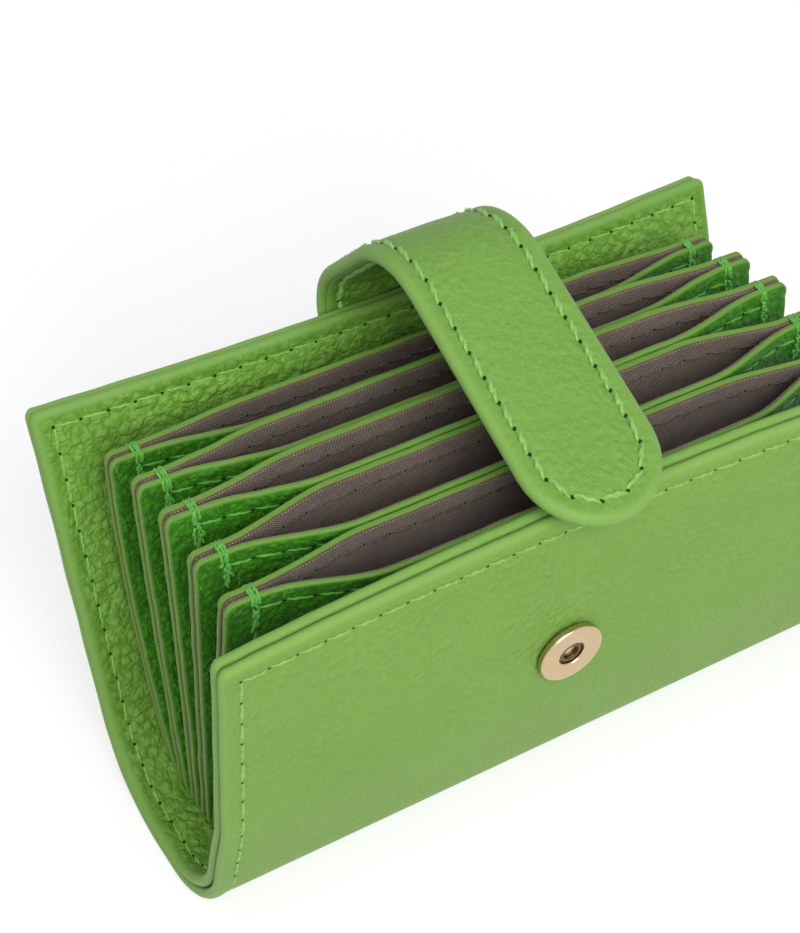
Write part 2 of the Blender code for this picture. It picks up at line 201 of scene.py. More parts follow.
def sheetBody(name, columns, rows, place, material, smoothAngle=180):
    # A grid is given two sides, and each point goes to its place on the leather or cloth
    deselectAll()
    bpy.ops.mesh.primitive_grid_add(x_subdivisions=len(columns) - 1, y_subdivisions=len(rows) - 1, size=2)
    piece = bpy.context.object
    piece.name = name
    wall = piece.modifiers.new("wall", "SOLIDIFY")
    wall.thickness = 0.1
    wall.offset = 0
    bpy.ops.object.modifier_apply(modifier=wall.name)
    inset = piece.data.attributes.new("inset", "FLOAT", "POINT")
    upper = piece.data.attributes.new("upper", "FLOAT", "POINT")
    for vertex in piece.data.vertices:
        column = round((vertex.co.x + 1) / 2 * (len(columns) - 1))
        row = round((vertex.co.y + 1) / 2 * (len(rows) - 1))
        face = 1 if vertex.co.z > 0 else -1
        point, fromEdge = place(columns[column], rows[row], face)
        vertex.co = point * mm
        inset.data[vertex.index].value = fromEdge
        upper.data[vertex.index].value = max(face, 0)
    piece.data.materials.append(material)
    closeUp(piece, smoothAngle)
    return piece


# Materials

def setInputs(node, inputs):
    # Each input takes a value, a colour or the output of another node
    for key, value in inputs.items():
        socket = node.inputs[key]
        if isinstance(value, bpy.types.NodeSocket):
            node.id_data.links.new(value, socket)
        elif socket.type == "RGBA":
            socket.default_value = (*value, 1)
        else:
            socket.default_value = value


def addNode(tree, kind, inputs, **settings):
    node = tree.nodes.new(kind)
    for key, value in settings.items():
        setattr(node, key, value)
    setInputs(node, inputs)
    return node


def newMaterial(name):
    material = bpy.data.materials.new(name)
    material.use_nodes = True
    tree = material.node_tree
    return material, tree, tree.nodes["Principled BSDF"]


def placeOn(tree):
    return addNode(tree, "ShaderNodeTexCoord", {}).outputs["Object"]


def noiseField(tree, scale, detail):
    inputs = {"Vector": placeOn(tree), "Scale": scale, "Detail": detail}
    return addNode(tree, "ShaderNodeTexNoise", inputs).outputs


def attribute(tree, name):
    return addNode(tree, "ShaderNodeAttribute", {}, attribute_name=name).outputs["Fac"]


def worked(tree, operation, *inputs):
    return addNode(tree, "ShaderNodeMath", dict(enumerate(inputs)), operation=operation).outputs["Value"]


def ranged(tree, source, low, high, start, end, kind="SMOOTHSTEP"):
    inputs = {"Value": source, "From Min": low, "From Max": high, "To Min": start, "To Max": end}
    return addNode(tree, "ShaderNodeMapRange", inputs, interpolation_type=kind).outputs["Result"]


def blended(tree, factor, first, second, kind="MIX"):
    inputs = {"Factor": factor, "A": first, "B": second}
    return addNode(tree, "ShaderNodeMix", inputs, data_type="RGBA", blend_type=kind).outputs["Result"]


def bumped(tree, height, depth, strength=1):
    inputs = {"Height": height, "Distance": depth * mm, "Strength": strength}
    return addNode(tree, "ShaderNodeBump", inputs).outputs["Normal"]


def scaled(colour, factor):
    return tuple(part * factor for part in colour)


# Sizes are shares of a leather's pebble, but broad is in mm; a range says from, to and what they become
grain = {
    "wander": 1.5, "shift": 0.5, "smoothness": 0.2, "small": 0.45, "fine": 0.22, "patch": 4.5, "broad": 13,
    "domeRange": (0.1, 0.75, 1, 0), "netRange": (0, 0.13, 0, 1), "patchRange": (0.38, 0.62, 0.5, 1),
    "rimShares": (0.25, 1.7), "rimRest": 0.15, "broadShades": (0.9, 1.1), "creaseDepth": 0.9,
    "fibreScale": (2600, 2600, 420), "fibreTurn": (0, 0.7, 0), "fibreBend": 1.2,
    "fibreRange": (0.62, 0.74, 0, 0.55), "backRange": (0, 0.5, 1, 0), "fleshRange": (0.12, 0.42, 0.2, 0.85),
    "glossShifts": (-0.06, 0.1), "sheen": 0.04,
}


def leatherMaterial(values):
    # Soft pebbles of two sizes, a net of faint creases with painted shade in the grain's low places, rims
    # smoother and a little lighter
    material, tree, shader = newMaterial(values["name"])
    pebble, rim, roughness = (values[key] for key in ("pebble", "rim", "roughness"))

    def field(size, detail):
        return noiseField(tree, 1 / (size * mm), detail)

    wander = field(pebble * grain["wander"], 2)["Color"]
    shift = addNode(tree, "ShaderNodeVectorMath", {0: wander, "Scale": grain["shift"] * pebble * mm},
                    operation="SCALE").outputs["Vector"]
    moved = addNode(tree, "ShaderNodeVectorMath", {0: placeOn(tree), 1: shift},
                    operation="ADD").outputs["Vector"]

    def cells(size, feature, **smoothness):
        inputs = {"Vector": moved, "Scale": 1 / (size * mm), **smoothness}
        return addNode(tree, "ShaderNodeTexVoronoi", inputs, feature=feature).outputs["Distance"]

    def domes(size):
        return ranged(tree, cells(size, "SMOOTH_F1", Smoothness=grain["smoothness"]), *grain["domeRange"])

    net = ranged(tree, cells(values["netSize"], "DISTANCE_TO_EDGE"), *grain["netRange"])
    fine = field(pebble * grain["fine"], 3)["Fac"]
    patchy = ranged(tree, field(pebble * grain["patch"], 1)["Fac"], *grain["patchRange"])
    height = worked(tree, "MULTIPLY", domes(pebble), patchy)
    for source, key in ((domes(pebble * grain["small"]), "small"), (net, "net"), (fine, "fine")):
        height = worked(tree, "MULTIPLY_ADD", source, values[key], height)
    inset = attribute(tree, "inset")
    rimStart, rimEnd = (share * rim for share in grain["rimShares"])
    height = worked(tree, "MULTIPLY", height, ranged(tree, inset, rimStart, rimEnd, grain["rimRest"], 1))

    def covered(factor, key):
        return blended(tree, factor, shown, colours[values[key]])

    shades = (scaled(colours[values["base"]], shade) for shade in grain["broadShades"])
    shown = blended(tree, field(grain["broad"], 3)["Fac"], *shades)
    # Painted shade: where the grain's height is low, in its valleys and creases, the colour is mixed towards
    # the dark crease shade
    shown = covered(ranged(tree, height, 0, grain["creaseDepth"], values["crease"], 0), "dark")
    if "line" in values:
        shown = covered(ranged(tree, net, 0, 1, values["lineStrength"], 0), "line")
    if "fibre" in values:
        stretch = addNode(tree, "ShaderNodeMapping", {
            "Vector": placeOn(tree), "Scale": grain["fibreScale"], "Rotation": grain["fibreTurn"]})
        hair = addNode(tree, "ShaderNodeTexNoise", {
            "Vector": stretch.outputs["Vector"], "Scale": 1, "Detail": 2, "Distortion": grain["fibreBend"]})
        shown = covered(ranged(tree, hair.outputs["Fac"], *grain["fibreRange"]), "fibre")
    shown = covered(ranged(tree, inset, 0, rim, values["wear"], 0), "edge")
    if "flesh" in values:
        back = ranged(tree, attribute(tree, "upper"), *grain["backRange"])
        within = ranged(tree, inset, *grain["fleshRange"])
        shown = covered(worked(tree, "MULTIPLY", back, within), "flesh")
    gloss = (roughness + step for step in grain["glossShifts"])
    setInputs(shader, {
        "Base Color": shown, "Normal": bumped(tree, height, values["depth"]),
        "Roughness": ranged(tree, fine, 0.2, 0.8, *gloss, "LINEAR"),
        "Specular IOR Level": values["gloss"], "Sheen Weight": grain["sheen"],
    })
    return material


def clothMaterial(values):
    # Woven nylon: rows of small raised dots with a painted highlight where the yarn comes up, and painted
    # shade and light that follow the broad wrinkles of the bump
    material, tree, shader = newMaterial(values["name"])
    split = addNode(tree, "ShaderNodeSeparateXYZ", {"Vector": placeOn(tree)}).outputs

    def yarn(place, pitch):
        return worked(tree, "SINE", worked(tree, "MULTIPLY", place, 2 * math.pi / (pitch * mm)))

    slanted = worked(tree, "MULTIPLY_ADD", split["Z"], values["slant"], split["X"])
    dots = worked(tree, "MULTIPLY", yarn(slanted, values["pitch"]), yarn(split["Z"], values["rowPitch"]))
    raised = ranged(tree, dots, *values["dotRange"], 0, 1)
    broad = noiseField(tree, values["broadScale"], 3)["Fac"]
    # Painted highlight: the raised yarn tops are mixed towards the light colour
    lit = worked(tree, "MULTIPLY", raised, noiseField(tree, values["fineScale"], 2)["Fac"])
    # Painted shade and light: darker in the broad wrinkles' hollows and lighter on their crests, from the
    # same field as the bump
    shade = ranged(tree, broad, 0, 1, *values["shades"], "LINEAR")
    height = worked(tree, "MULTIPLY_ADD", raised, values["dotHeight"], broad)
    colour = blended(tree, lit, colours[values["base"]], colours[values["light"]])
    setInputs(shader, {
        "Base Color": blended(tree, 1, colour, shade, "MULTIPLY"), "Roughness": 0.6, "Sheen Weight": 0.35,
        "Normal": bumped(tree, height, values["depth"]),
    })
    return material


def grainMaterial(name, dark, light, scale, detail, depth, finish):
    # Fine noise between two colours, with a relief of a depth in mm
    material, tree, shader = newMaterial(name)
    field = noiseField(tree, scale, detail)["Fac"]
    setInputs(shader, {"Base Color": blended(tree, field, dark, light), **finish})
    if depth:
        setInputs(shader, {"Normal": bumped(tree, field, depth)})
    return material


def threadMaterial(name, base, light):
    return grainMaterial(name, base, light, 1600, 2, 0.1, {"Roughness": 0.42, "Sheen Weight": 0.3})


def metalMaterial(name, base, roughness):
    # Polished plating with faint handling marks
    material, tree, shader = newMaterial(name)
    marks = noiseField(tree, 420, 4)["Fac"]
    setInputs(shader, {
        "Base Color": blended(tree, marks, scaled(base, 0.9), base), "Metallic": 1,
        "Roughness": ranged(tree, marks, 0, 1, roughness * 0.7, roughness * 1.4, "LINEAR"),
        "Normal": bumped(tree, marks, 0.02, 0.15),
    })
    return material


coverLeather = leatherMaterial({
    "name": "pebbled cover leather", "base": "leather", "dark": "leatherCreaseShade",
    "edge": "leatherEdge", "pebble": 1.2, "depth": 0.2, "net": 0.14, "netSize": 1.5,
    "crease": 0.5, "small": 0.2, "fine": 0.08, "roughness": 0.52, "gloss": 0.25, "rim": 1, "wear": 0.7,
})
liningLeather = leatherMaterial({
    "name": "pebbled lining leather", "base": "lining", "dark": "liningCreaseShade",
    "edge": "leatherEdge", "pebble": 1.5, "depth": 0.38, "net": 0.24, "netSize": 1.75,
    "crease": 0.75, "small": 0.2, "fine": 0.05, "roughness": 0.5, "gloss": 0.3, "rim": 1.6, "wear": 0.65,
})
strapLeather = leatherMaterial({
    "name": "strap leather", "base": "strap", "dark": "leatherCreaseShade",
    "edge": "leatherEdge", "pebble": 1.3, "depth": 0.16, "net": 0.2, "netSize": 1.75,
    "crease": 0.3, "small": 0.22, "fine": 0.1, "line": "strapLine", "lineStrength": 0.42,
    "roughness": 0.5, "gloss": 0.28, "rim": 1.6, "wear": 0.6,
})
pocketLeather = leatherMaterial({
    "name": "pocket leather", "base": "pocket", "dark": "pocketCreaseShade",
    "edge": "rawEdge", "pebble": 1.2, "depth": 0.34, "net": 0.22, "netSize": 1.5,
    "crease": 0.75, "small": 0.2, "fine": 0.12, "fibre": "fibre", "flesh": "flesh",
    "roughness": 0.55, "gloss": 0.2, "rim": 0.65, "wear": 0.85,
})
liningCloth = clothMaterial({
    "name": "taupe nylon lining", "base": "cloth", "light": "clothYarnHighlight", "pitch": 0.5,
    "rowPitch": 0.55, "slant": 0.5, "dotRange": (0.1, 0.85), "dotHeight": 0.12, "depth": 0.6,
    "shades": (0.75, 1.2), "broadScale": 160, "fineScale": 900,
})
# The green threads' light colours are painted highlights, scattered over them by fine noise
greenThread = threadMaterial("green thread", colours["thread"], colours["threadHighlight"])
deepThread = threadMaterial("deep green thread", colours["deepThread"], colours["deepThreadHighlight"])
taupeThread = threadMaterial("taupe thread", colours["clothThread"], colours["cloth"])
holeShadowMaterial = grainMaterial("needle hole shadow", scaled(colours["hole"], 0.5), scaled(colours["hole"], 2.5),
                           2000, 2, 0, {"Roughness": 0.9, "Specular IOR Level": 0.1})
fibreBoard = grainMaterial("grey fibre board", scaled(colours["board"], 0.75), scaled(colours["board"], 1.2),
                           700, 6, 0.05, {"Roughness": 0.9})
gildedMetal = metalMaterial("gilt plating", colours["gold"], 0.2)
springHoleShadeMetal = metalMaterial("spring metal darkened as painted hole shade", colours["bronze"], 0.35)
springSteel = metalMaterial("spring steel", colours["steel"], 0.3)
print("materials made")


# Stitches: one thread and one needle hole's painted shadow, a flat dark disc, are modelled, and every row is
# made of copies

threadValues = {
    "segments": 6, "rings": 9, "thick": 0.55, "twist": 1.9, "flat": 0.26, "drop": 0.3,
    "holeSides": 8, "holeRadius": 0.26, "holeLift": 0.04, "lengthSpread": 0.03, "thickSpread": 0.07,
}


def modelThread(values):
    # A twisted thread one unit long, whose ends dive into the leather
    deselectAll()
    bpy.ops.mesh.primitive_uv_sphere_add(segments=values["segments"], ring_count=values["rings"], radius=0.5,
                                         rotation=(0, math.pi / 2, 0))
    thread = bpy.context.object
    bpy.ops.object.transform_apply(location=False, rotation=True, scale=False)
    for vertex in thread.data.vertices:
        x, y, z = vertex.co
        along = min(abs(2 * x), 1)
        radius = math.hypot(y, z)
        if radius > 1e-4:
            size = 0.5 * (1 - along ** 5) ** 0.5 / radius
            y, z = y * size * (1 + values["flat"]), z * size * (1 - values["flat"])
        angle = x * math.pi * values["twist"]
        turned = (y * math.cos(angle) - z * math.sin(angle), y * math.sin(angle) + z * math.cos(angle))
        vertex.co = (math.asin(2 * x) / math.pi if along < 1 else x, turned[0] * values["thick"],
                     (turned[1] - values["drop"] * along ** 6) * values["thick"])
    return thread


def modelHole(values):
    # A flat dark disc: the painted shadow of a needle hole
    deselectAll()
    bpy.ops.mesh.primitive_circle_add(vertices=values["holeSides"], radius=values["holeRadius"],
                                      fill_type="TRIFAN")
    return bpy.context.object


def meshData(piece):
    points = [v.co.copy() for v in piece.data.vertices]
    faces = [tuple(p.vertices) for p in piece.data.polygons]
    bpy.data.objects.remove(piece)
    return points, faces


threadMesh = meshData(modelThread(threadValues))
holeMesh = meshData(modelHole(threadValues))


def spread(amount):
    return randomMaker.uniform(-amount, amount)


def turnTo(direction):
    return up.rotation_difference(direction).to_matrix().to_4x4()


def sewRows(name, rows, threadMat, thick, slant, sink, hole, fill=1.02):
    # rows: lists of (point, outward normal) at the needle holes, in mm; hole 0 leaves out the dark discs of
    # painted hole shadow
    points, faces, kinds = [], [], []

    def put(model, place, kind):
        offset = len(points)
        points.extend(place @ p * mm for p in model[0])
        faces.extend(tuple(i + offset for i in face) for face in model[1])
        kinds.extend([kind] * len(model[1]))

    for row in rows:
        for (a, na), (b, nb) in zip(row, row[1:]):
            out = (na + nb).normalized()
            side = out.cross(b - a).normalized()
            start = a + side * slant
            end = b - side * slant
            along = (end - start) * (fill + spread(threadValues["lengthSpread"]))
            side = out.cross(along).normalized()
            middle = (start + end) / 2 + out * (threadValues["thick"] * thick * 0.5 - sink)
            scale = thick * (1 + spread(threadValues["thickSpread"]))
            lying = Matrix((along, side * scale, out * scale)).transposed().to_4x4()
            put(threadMesh, Matrix.Translation(middle) @ lying, 0)
        if hole:
            for point, normal in row:
                lifted = Matrix.Translation(point + normal * threadValues["holeLift"])
                put(holeMesh, lifted @ turnTo(normal) @ Matrix.Scale(hole, 4), 1)
    mesh = bpy.data.meshes.new(name)
    mesh.from_pydata(points, [], faces)
    mesh.polygons.foreach_set("material_index", kinds)
    mesh.materials.append(threadMat)
    mesh.materials.append(holeShadowMaterial)
    mesh.shade_smooth()
    return addObject(name, mesh)


def outwardAt(pointAt, across, distance, depth, outward):
    # A point and its normal; outward is the sign of the way out along the depth
    point = pointAt(across, distance, depth)
    return point, (pointAt(across, distance, depth + outward) - point).normalized()


def rowOf(pointAt, low, high, pitch):
    # Needle holes spaced evenly between two ends; pointAt gives a point and its outward normal
    count = max(1, round(abs(high - low) / pitch))
    return [pointAt(low + (high - low) * i / count) for i in range(count + 1)]


# Cover: one strip of leather, and its lining inside it

cover = {
    "width": 114, "frontRun": 30, "frontBendRadius": 40, "frontLean": math.radians(10), "frontLowerRun": 10.3,
    "foldRadius": 19.4, "heelRadius": 10, "heelTurn": math.radians(25), "restFlat": 8,
    "backLean": math.radians(23.4), "backRun": 49.6, "corner": 1.5, "frontBow": 2.3, "backBow": 2,
    "leather": 1.6, "gap": 0.2, "spacing": 1.3, "stitchInset": 2.75, "stitchPitch": 4, "stitchDepth": 0.22,
    "groove": 0.3, "grooveWidth": 0.55, "swell": 0.12, "swellAt": 1.3, "swellWidth": 0.7,
    "waves": 0.12, "waveSize": 3, "waveReach": 3, "edgeReach": 4,
    "endWander": 0.14, "endWanderSize": 5, "sideWander": 0.12, "sideWanderSize": 6,
    "bendStart": (0, -0.004, 0), "bendEnd": (0, -0.015, 0),
}
coverSewing = {
    "Outside": {"thick": 0.95, "slant": 0.12, "sink": 0.2, "hole": 0.7},
    "Inside": {"thick": 0.8, "slant": 0.12, "sink": 0.2, "hole": 0.9},
}
rightAngle = math.pi / 2
frontMoves = [("run", cover["frontRun"], 0), ("arc", cover["frontBendRadius"], cover["frontLean"]),
              ("run", cover["frontLowerRun"], 0)]
foldMoves = [("arc", cover["foldRadius"], rightAngle - cover["frontLean"] - cover["heelTurn"]),
             ("arc", cover["heelRadius"], cover["heelTurn"]), ("run", cover["restFlat"], 0),
             ("arc", cover["heelRadius"], cover["heelTurn"]),
             ("arc", cover["foldRadius"], rightAngle - cover["backLean"] - cover["heelTurn"])]
coverMoves = frontMoves + foldMoves + [("run", cover["backRun"], 0)]
frontEnd = totalLength(frontMoves)
coverEnd = frontEnd + totalLength(foldMoves) + cover["backRun"]
flatMiddle = frontEnd + totalLength(foldMoves[:2]) + cover["restFlat"] / 2
flatY, flatZ = walk((0, 0), -rightAngle, coverMoves, flatMiddle)[:2]
coverStart = (-flatY, -flatZ)
coverHalf = cover["width"] / 2
coverThickness = 2 * cover["leather"] + cover["gap"]


def coverPoint(x, distance, depth):
    y, z, heading = walk(coverStart, -rightAngle, coverMoves, distance)
    across = 1 - (x / coverHalf) ** 2
    frontShare = max(0, 1 - distance / cover["frontRun"])
    backShare = max(0, 1 - (coverEnd - distance) / cover["backRun"])
    y += across * (cover["frontBow"] * frontShare ** 2 - cover["backBow"] * backShare ** 2)
    return Vector((x, y - depth * math.sin(heading), z + depth * math.cos(heading)))


coverEdge = [0, 0.07, 0.25, 0.55, 0.95, 1.5, 2.0, 2.4, 2.75, 3.1, 3.6, 4.6]
coverColumns = edgeSpread(cover["width"], coverEdge, cover["spacing"])
coverRows = edgeSpread(coverEnd, coverEdge, cover["spacing"])
acrossPitch = evenPitch(cover["width"] - 2 * cover["stitchInset"], cover["stitchPitch"])
alongPitch = evenPitch(coverEnd - 2 * cover["stitchInset"], cover["stitchPitch"])


def coverSheet(name, low, material, outside):
    # low: depth of the layer's outer face; outside: whether that face is the one that shows
    half = cover["leather"] / 2

    def place(column, row, side):
        fromEnd = min(row, coverEnd - row)
        fromSide = min(column, cover["width"] - column)
        rounded = cover["corner"] * (1 - roundRim(fromEnd, cover["corner"]))
        x = (column - coverHalf) * (coverHalf - rounded) / coverHalf
        inset = min(fromEnd, fromSide)
        depth = low + half + side * half * roundRim(inset, half)
        shows = side < 0 if outside else side > 0
        if shows:
            run, pitch = (column, acrossPitch) if fromEnd < fromSide else (row, alongPitch)
            sewn = pucker(run - cover["stitchInset"], pitch)
            depth -= side * groove(cover, inset, sewn, cover["stitchInset"])
            if not outside:
                wave = cover["waves"] * uneven(column, row, cover["waveSize"])
                depth += side * wave * ease(inset / cover["waveReach"])
        point = coverPoint(x, row, depth)
        endShift = cover["endWander"] * uneven(column, low, cover["endWanderSize"], 1)
        point.z += endShift * ease(1 - fromEnd / cover["edgeReach"])
        sideShift = cover["sideWander"] * uneven(row, low, cover["sideWanderSize"], 2)
        point.x += sideShift * ease(1 - fromSide / cover["edgeReach"])
        return point, inset

    return sheetBody(name, coverColumns, coverRows, place, material)


def foldsWithCover(piece):
    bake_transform(piece)


def coverStitches(word, depth, outward):
    # Rows along all four sides of a face
    inset = cover["stitchInset"]
    reach = coverHalf - inset
    far = coverEnd - inset

    def spot(x, distance):
        return outwardAt(coverPoint, x, distance, depth, outward)

    rows = [rowOf(lambda x, d=d: spot(x, d), -reach, reach, cover["stitchPitch"]) for d in (inset, far)]
    rows += [rowOf(lambda d, x=x: spot(x, d), inset, far, cover["stitchPitch"]) for x in (-reach, reach)]
    foldsWithCover(sewRows(f"coverStitches{word}", rows, greenThread, **coverSewing[word]))


coverOuter = coverSheet("coverLeather", 0, coverLeather, True)
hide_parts("cover_back", "cover_fold", "cover_front")
foldsWithCover(coverOuter)
coverInner = coverSheet("coverLining", cover["leather"] + cover["gap"], liningLeather, False)
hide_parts("lining_back", "lining_fold", "lining_front")
foldsWithCover(coverInner)
coverStitches("Outside", cover["stitchDepth"], -1)
coverStitches("Inside", coverThickness - cover["stitchDepth"], 1)
print("cover made")


# Pockets, counted from the back: leather, cloth lining, cloth lining, leather

pocket = {
    "width": 101.4, "leather": 0.85, "cloth": 0.2, "gap": 0.2, "tackInset": 4.7, "meetingWidth": 56,
    "roots": ((6.7, 4.92), (3.5, 3.74), (0.3, 3.7), (-2.9, 3.7), (-6.1, 4.59)),
    "mouthFirst": -9.3, "mouthPitch": 8.35, "mouthHeight": 59.94, "mouthDrops": (0.072, 0.027, 0, 0, 0),
    "bows": (0.067, 0.01, -0.01, 0, 0), "meetings": (0.54, 0.54, 0.49, 0.59), "lips": (0.11, 0.07, 0, 0),
    "lipDepth": 0.2, "backBulge": 1, "frontBulge": 4.3, "topCorner": 1.5, "bottomCorner": 3,
    "bottomSeam": 9, "footLift": 0.3, "rim": 0.3, "rimRest": 0.45, "spacing": 1.3, "rowSpacing": 2.2,
    "smoothAngle": 50,
    "rowBelow": 2.6, "pitch": 3.9, "seamInset": 4.3,
    "rowDepth": 0.14, "sideRowDepth": 0.05, "sideRowStart": 3,
    "groove": 0.2, "grooveWidth": 0.5, "swell": 0.06, "swellAt": 0.9, "swellWidth": 0.6,
    "topWander": 0.16, "topWanderSize": 4.5, "topReach": 5,
    "sideWander": 0.14, "sideWanderSize": 4, "sideReach": 4,
    "foldedShares": (0.25, 0.27, 0.3, 0.3, 0.32), "foldedShifts": (-2.2, -1.1, -0.3, 0.5, 1.6),
}
ply = {
    "near": pocket["leather"] + 0.05, "far": pocket["leather"] + 0.05 + 0.3, "trim": 0.35, "rim": 0.2,
    "spacing": 1.9, "waves": 0.1, "waveSize": 2.5, "waveStretch": (0.6, 2.2), "waveReach": 2,
    "stitchInset": 2,
}
pocketCount = len(pocket["roots"])
pocketHalf = pocket["width"] / 2
seamHalf = pocket["leather"] + pocket["gap"] + pocket["cloth"]
seatGap = 0.3


def pocketTop(number):
    return (pocket["mouthFirst"] + pocket["mouthPitch"] * (pocketCount - number),
            pocket["mouthHeight"] * (1 - pocket["mouthDrops"][number - 1]))


def pocketShare(number, z):
    # 0 at the pocket's root, 1 at its mouth
    low, high = pocket["roots"][number - 1][1], pocketTop(number)[1]
    return (z - low) / (high - low)


def pocketMiddle(number, z):
    (lowY, lowZ), (highY, highZ) = pocket["roots"][number - 1], pocketTop(number)
    share = pocketShare(number, z)
    bow = pocket["bows"][number - 1] * (highZ - lowZ)
    return lowY + (highY - lowY) * share + 4 * bow * share * (1 - share)


def meeting(number, z):
    behind, ahead = pocketMiddle(number, z), pocketMiddle(number + 1, z)
    return behind - pocket["meetings"][number - 1] * (behind - ahead)


def lip(pair, number, z):
    rise = ease((pocketShare(number, z) - 1) / pocket["lipDepth"] + 1)
    return pocket["lips"][pair - 1] * pocket["mouthPitch"] * rise


def faceOffset(number, side, x, z):
    share = pocketShare(number, z)
    middle = pocketMiddle(number, z)
    if side > 0 and number == 1:
        offset = seamHalf + pocket["backBulge"] * share
    elif side > 0:
        offset = meeting(number - 1, z) - seatGap / 2 - lip(number - 1, number, z) - middle
    elif number == pocketCount:
        offset = seamHalf + pocket["frontBulge"] * share
    else:
        offset = middle - meeting(number, z) - seatGap / 2 - lip(number, number, z)
    tack = pocketHalf - pocket["tackInset"]
    flank = tack - pocket["meetingWidth"] / 2
    across = 1 - ease((abs(x) - pocket["meetingWidth"] / 2) / flank)
    rise = ease((z - pocket["roots"][number - 1][1]) / pocket["bottomSeam"])
    return seamHalf + (offset - seamHalf) * across * rise


def pocketPoint(number, side, inward, x, z):
    offset = max(faceOffset(number, side, x, z) - inward, 0)
    return Vector((x, pocketMiddle(number, z) + side * offset, z))


pocketEdge = [0, 0.06, 0.2, 0.45, 0.9, 1.6, 2.2, 2.6, 3.1, 4.0]
pocketSeam = pocketHalf - pocket["seamInset"]
pocketPitch = evenPitch(2 * pocketSeam, pocket["pitch"])


def pocketSheet(name, number, side, layer, material):
    # near and far: how deep the layer's two faces lie under the pocket's outer face
    near, far, trim = layer["near"], layer["far"], layer["trim"]
    low = pocket["roots"][number - 1][1] + pocket["footLift"] + trim
    high = pocketTop(number)[1] - trim
    half = pocketHalf - trim

    def place(column, row, face):
        z = low + row
        fromTop, fromBottom = high - z, row
        rounded = pocket["topCorner"] * (1 - roundRim(fromTop, pocket["topCorner"]))
        rounded += pocket["bottomCorner"] * (1 - roundRim(fromBottom, pocket["bottomCorner"]))
        x = (column - half) * (half - rounded) / half
        inset = min(fromTop, fromBottom, column, 2 * half - column)
        full = pocket["rimRest"] + (1 - pocket["rimRest"]) * roundRim(inset, layer["rim"])
        inward = (near + far) / 2 - face * (far - near) / 2 * full
        if face > 0 and near == 0:
            sewn = pucker(x - pocketHalf + pocket["seamInset"], pocketPitch)
            inward += groove(pocket, fromTop, sewn, pocket["rowBelow"])
        if near > 0 and face < 0:
            stretchX, stretchZ = ply["waveStretch"]
            wave = ply["waves"] * uneven(x * stretchX, z * stretchZ, ply["waveSize"], number)
            inward += wave * ease(inset / ply["waveReach"])
        point = pocketPoint(number, side, inward, x, z)
        seed = number * 2 + side
        topShift = pocket["topWander"] * uneven(x, 0, pocket["topWanderSize"], seed)
        point.z += topShift * ease(1 - fromTop / pocket["topReach"])
        sideShift = pocket["sideWander"] * uneven(z, 0, pocket["sideWanderSize"], seed + 20)
        point.x += sideShift * ease(1 - (pocketHalf - abs(x)) / pocket["sideReach"])
        return point, inset

    columns = edgeSpread(2 * half, pocketEdge, layer["spacing"])
    rows = edgeSpread(high - low, pocketEdge, pocket["rowSpacing"])
    return sheetBody(name, columns, rows, place, material, pocket["smoothAngle"]), half, high - low


def pocketSpot(number, side, inward, x, z):
    def at(shiftX, shiftZ):
        return pocketPoint(number, side, inward, x + shiftX, z + shiftZ)

    normal = (at(0.5, 0) - at(-0.5, 0)).cross(at(0, 0.5) - at(0, -0.5)).normalized()
    return at(0, 0), normal if normal.y * side >= 0 else -normal


def seamRows(number):
    # Below the mouth and down both sides, on the outer faces
    rows = []
    low = pocket["roots"][number - 1][1] + pocket["sideRowStart"]
    high = pocketTop(number)[1] - pocket["rowBelow"]
    for side in (1, -1):
        rows.append(rowOf(lambda x: pocketSpot(number, side, pocket["rowDepth"], x, high),
                          -pocketSeam, pocketSeam, pocket["pitch"]))
        for x in (-pocketSeam, pocketSeam):
            rows.append(rowOf(lambda z: pocketSpot(number, side, pocket["sideRowDepth"], x, z),
                              low, high, pocket["pitch"]))
    return rows


def clothRows(number):
    # Below the mouth, on the cloth inside
    rows = []
    reach = pocketSeam - ply["stitchInset"]
    high = pocketTop(number)[1] - pocket["rowBelow"]
    for side in (1, -1):
        spots = rowOf(lambda x: pocketSpot(number, side, ply["far"], x, high), -reach, reach, pocket["pitch"])
        rows.append([(point, -normal) for point, normal in spots])
    return rows


tack = {
    "shifts": (-0.5, -0.1, 0.35), "wander": 0.12, "slope": 0.15, "low": (1.5, 2.4), "above": 0.05,
    "sunk": 0.05, "below": 0.03, "tails": 15, "tailTop": 1.3, "tailStep": 0.27, "tailLift": 0.06,
    "tailAside": (-0.55, 0.45), "tailDrop": (0, 0.4), "tailSlant": 0.7, "tailLength": (0.5, 1.5),
}


def tackRows(number):
    # Loops of thread over the mouth's edge at both ends
    high = pocketTop(number)[1]
    rows = []
    for x in (-pocketSeam, pocketSeam):
        for shift in tack["shifts"]:
            place = x + shift + spread(tack["wander"])
            low = high - randomMaker.uniform(*tack["low"])
            for side in (1, -1):
                rows.append([pocketSpot(number, side, 0, place + spread(tack["slope"]), z)
                             for z in (high + tack["above"], low)])
            ends = [pocketPoint(number, side, tack["sunk"], place, high - tack["below"]) for side in (1, -1)]
            rows.append([(end, up) for end in ends])
    return rows


def tailRows(number):
    # The tangle where the machine sewed forwards and back below each loop
    high = pocketTop(number)[1] - tack["tailTop"]
    rows = []
    for x in (-pocketSeam, pocketSeam):
        for side in (1, -1):
            for step in range(tack["tails"]):
                startX = x + randomMaker.uniform(*tack["tailAside"])
                startZ = high - tack["tailStep"] * step - randomMaker.uniform(*tack["tailDrop"])
                endX = startX + spread(tack["tailSlant"])
                endZ = startZ - randomMaker.uniform(*tack["tailLength"])
                lift = -tack["tailLift"] * (step % 4)
                rows.append([pocketSpot(number, side, lift, *spot)
                             for spot in ((startX, startZ), (endX, endZ))])
    return rows


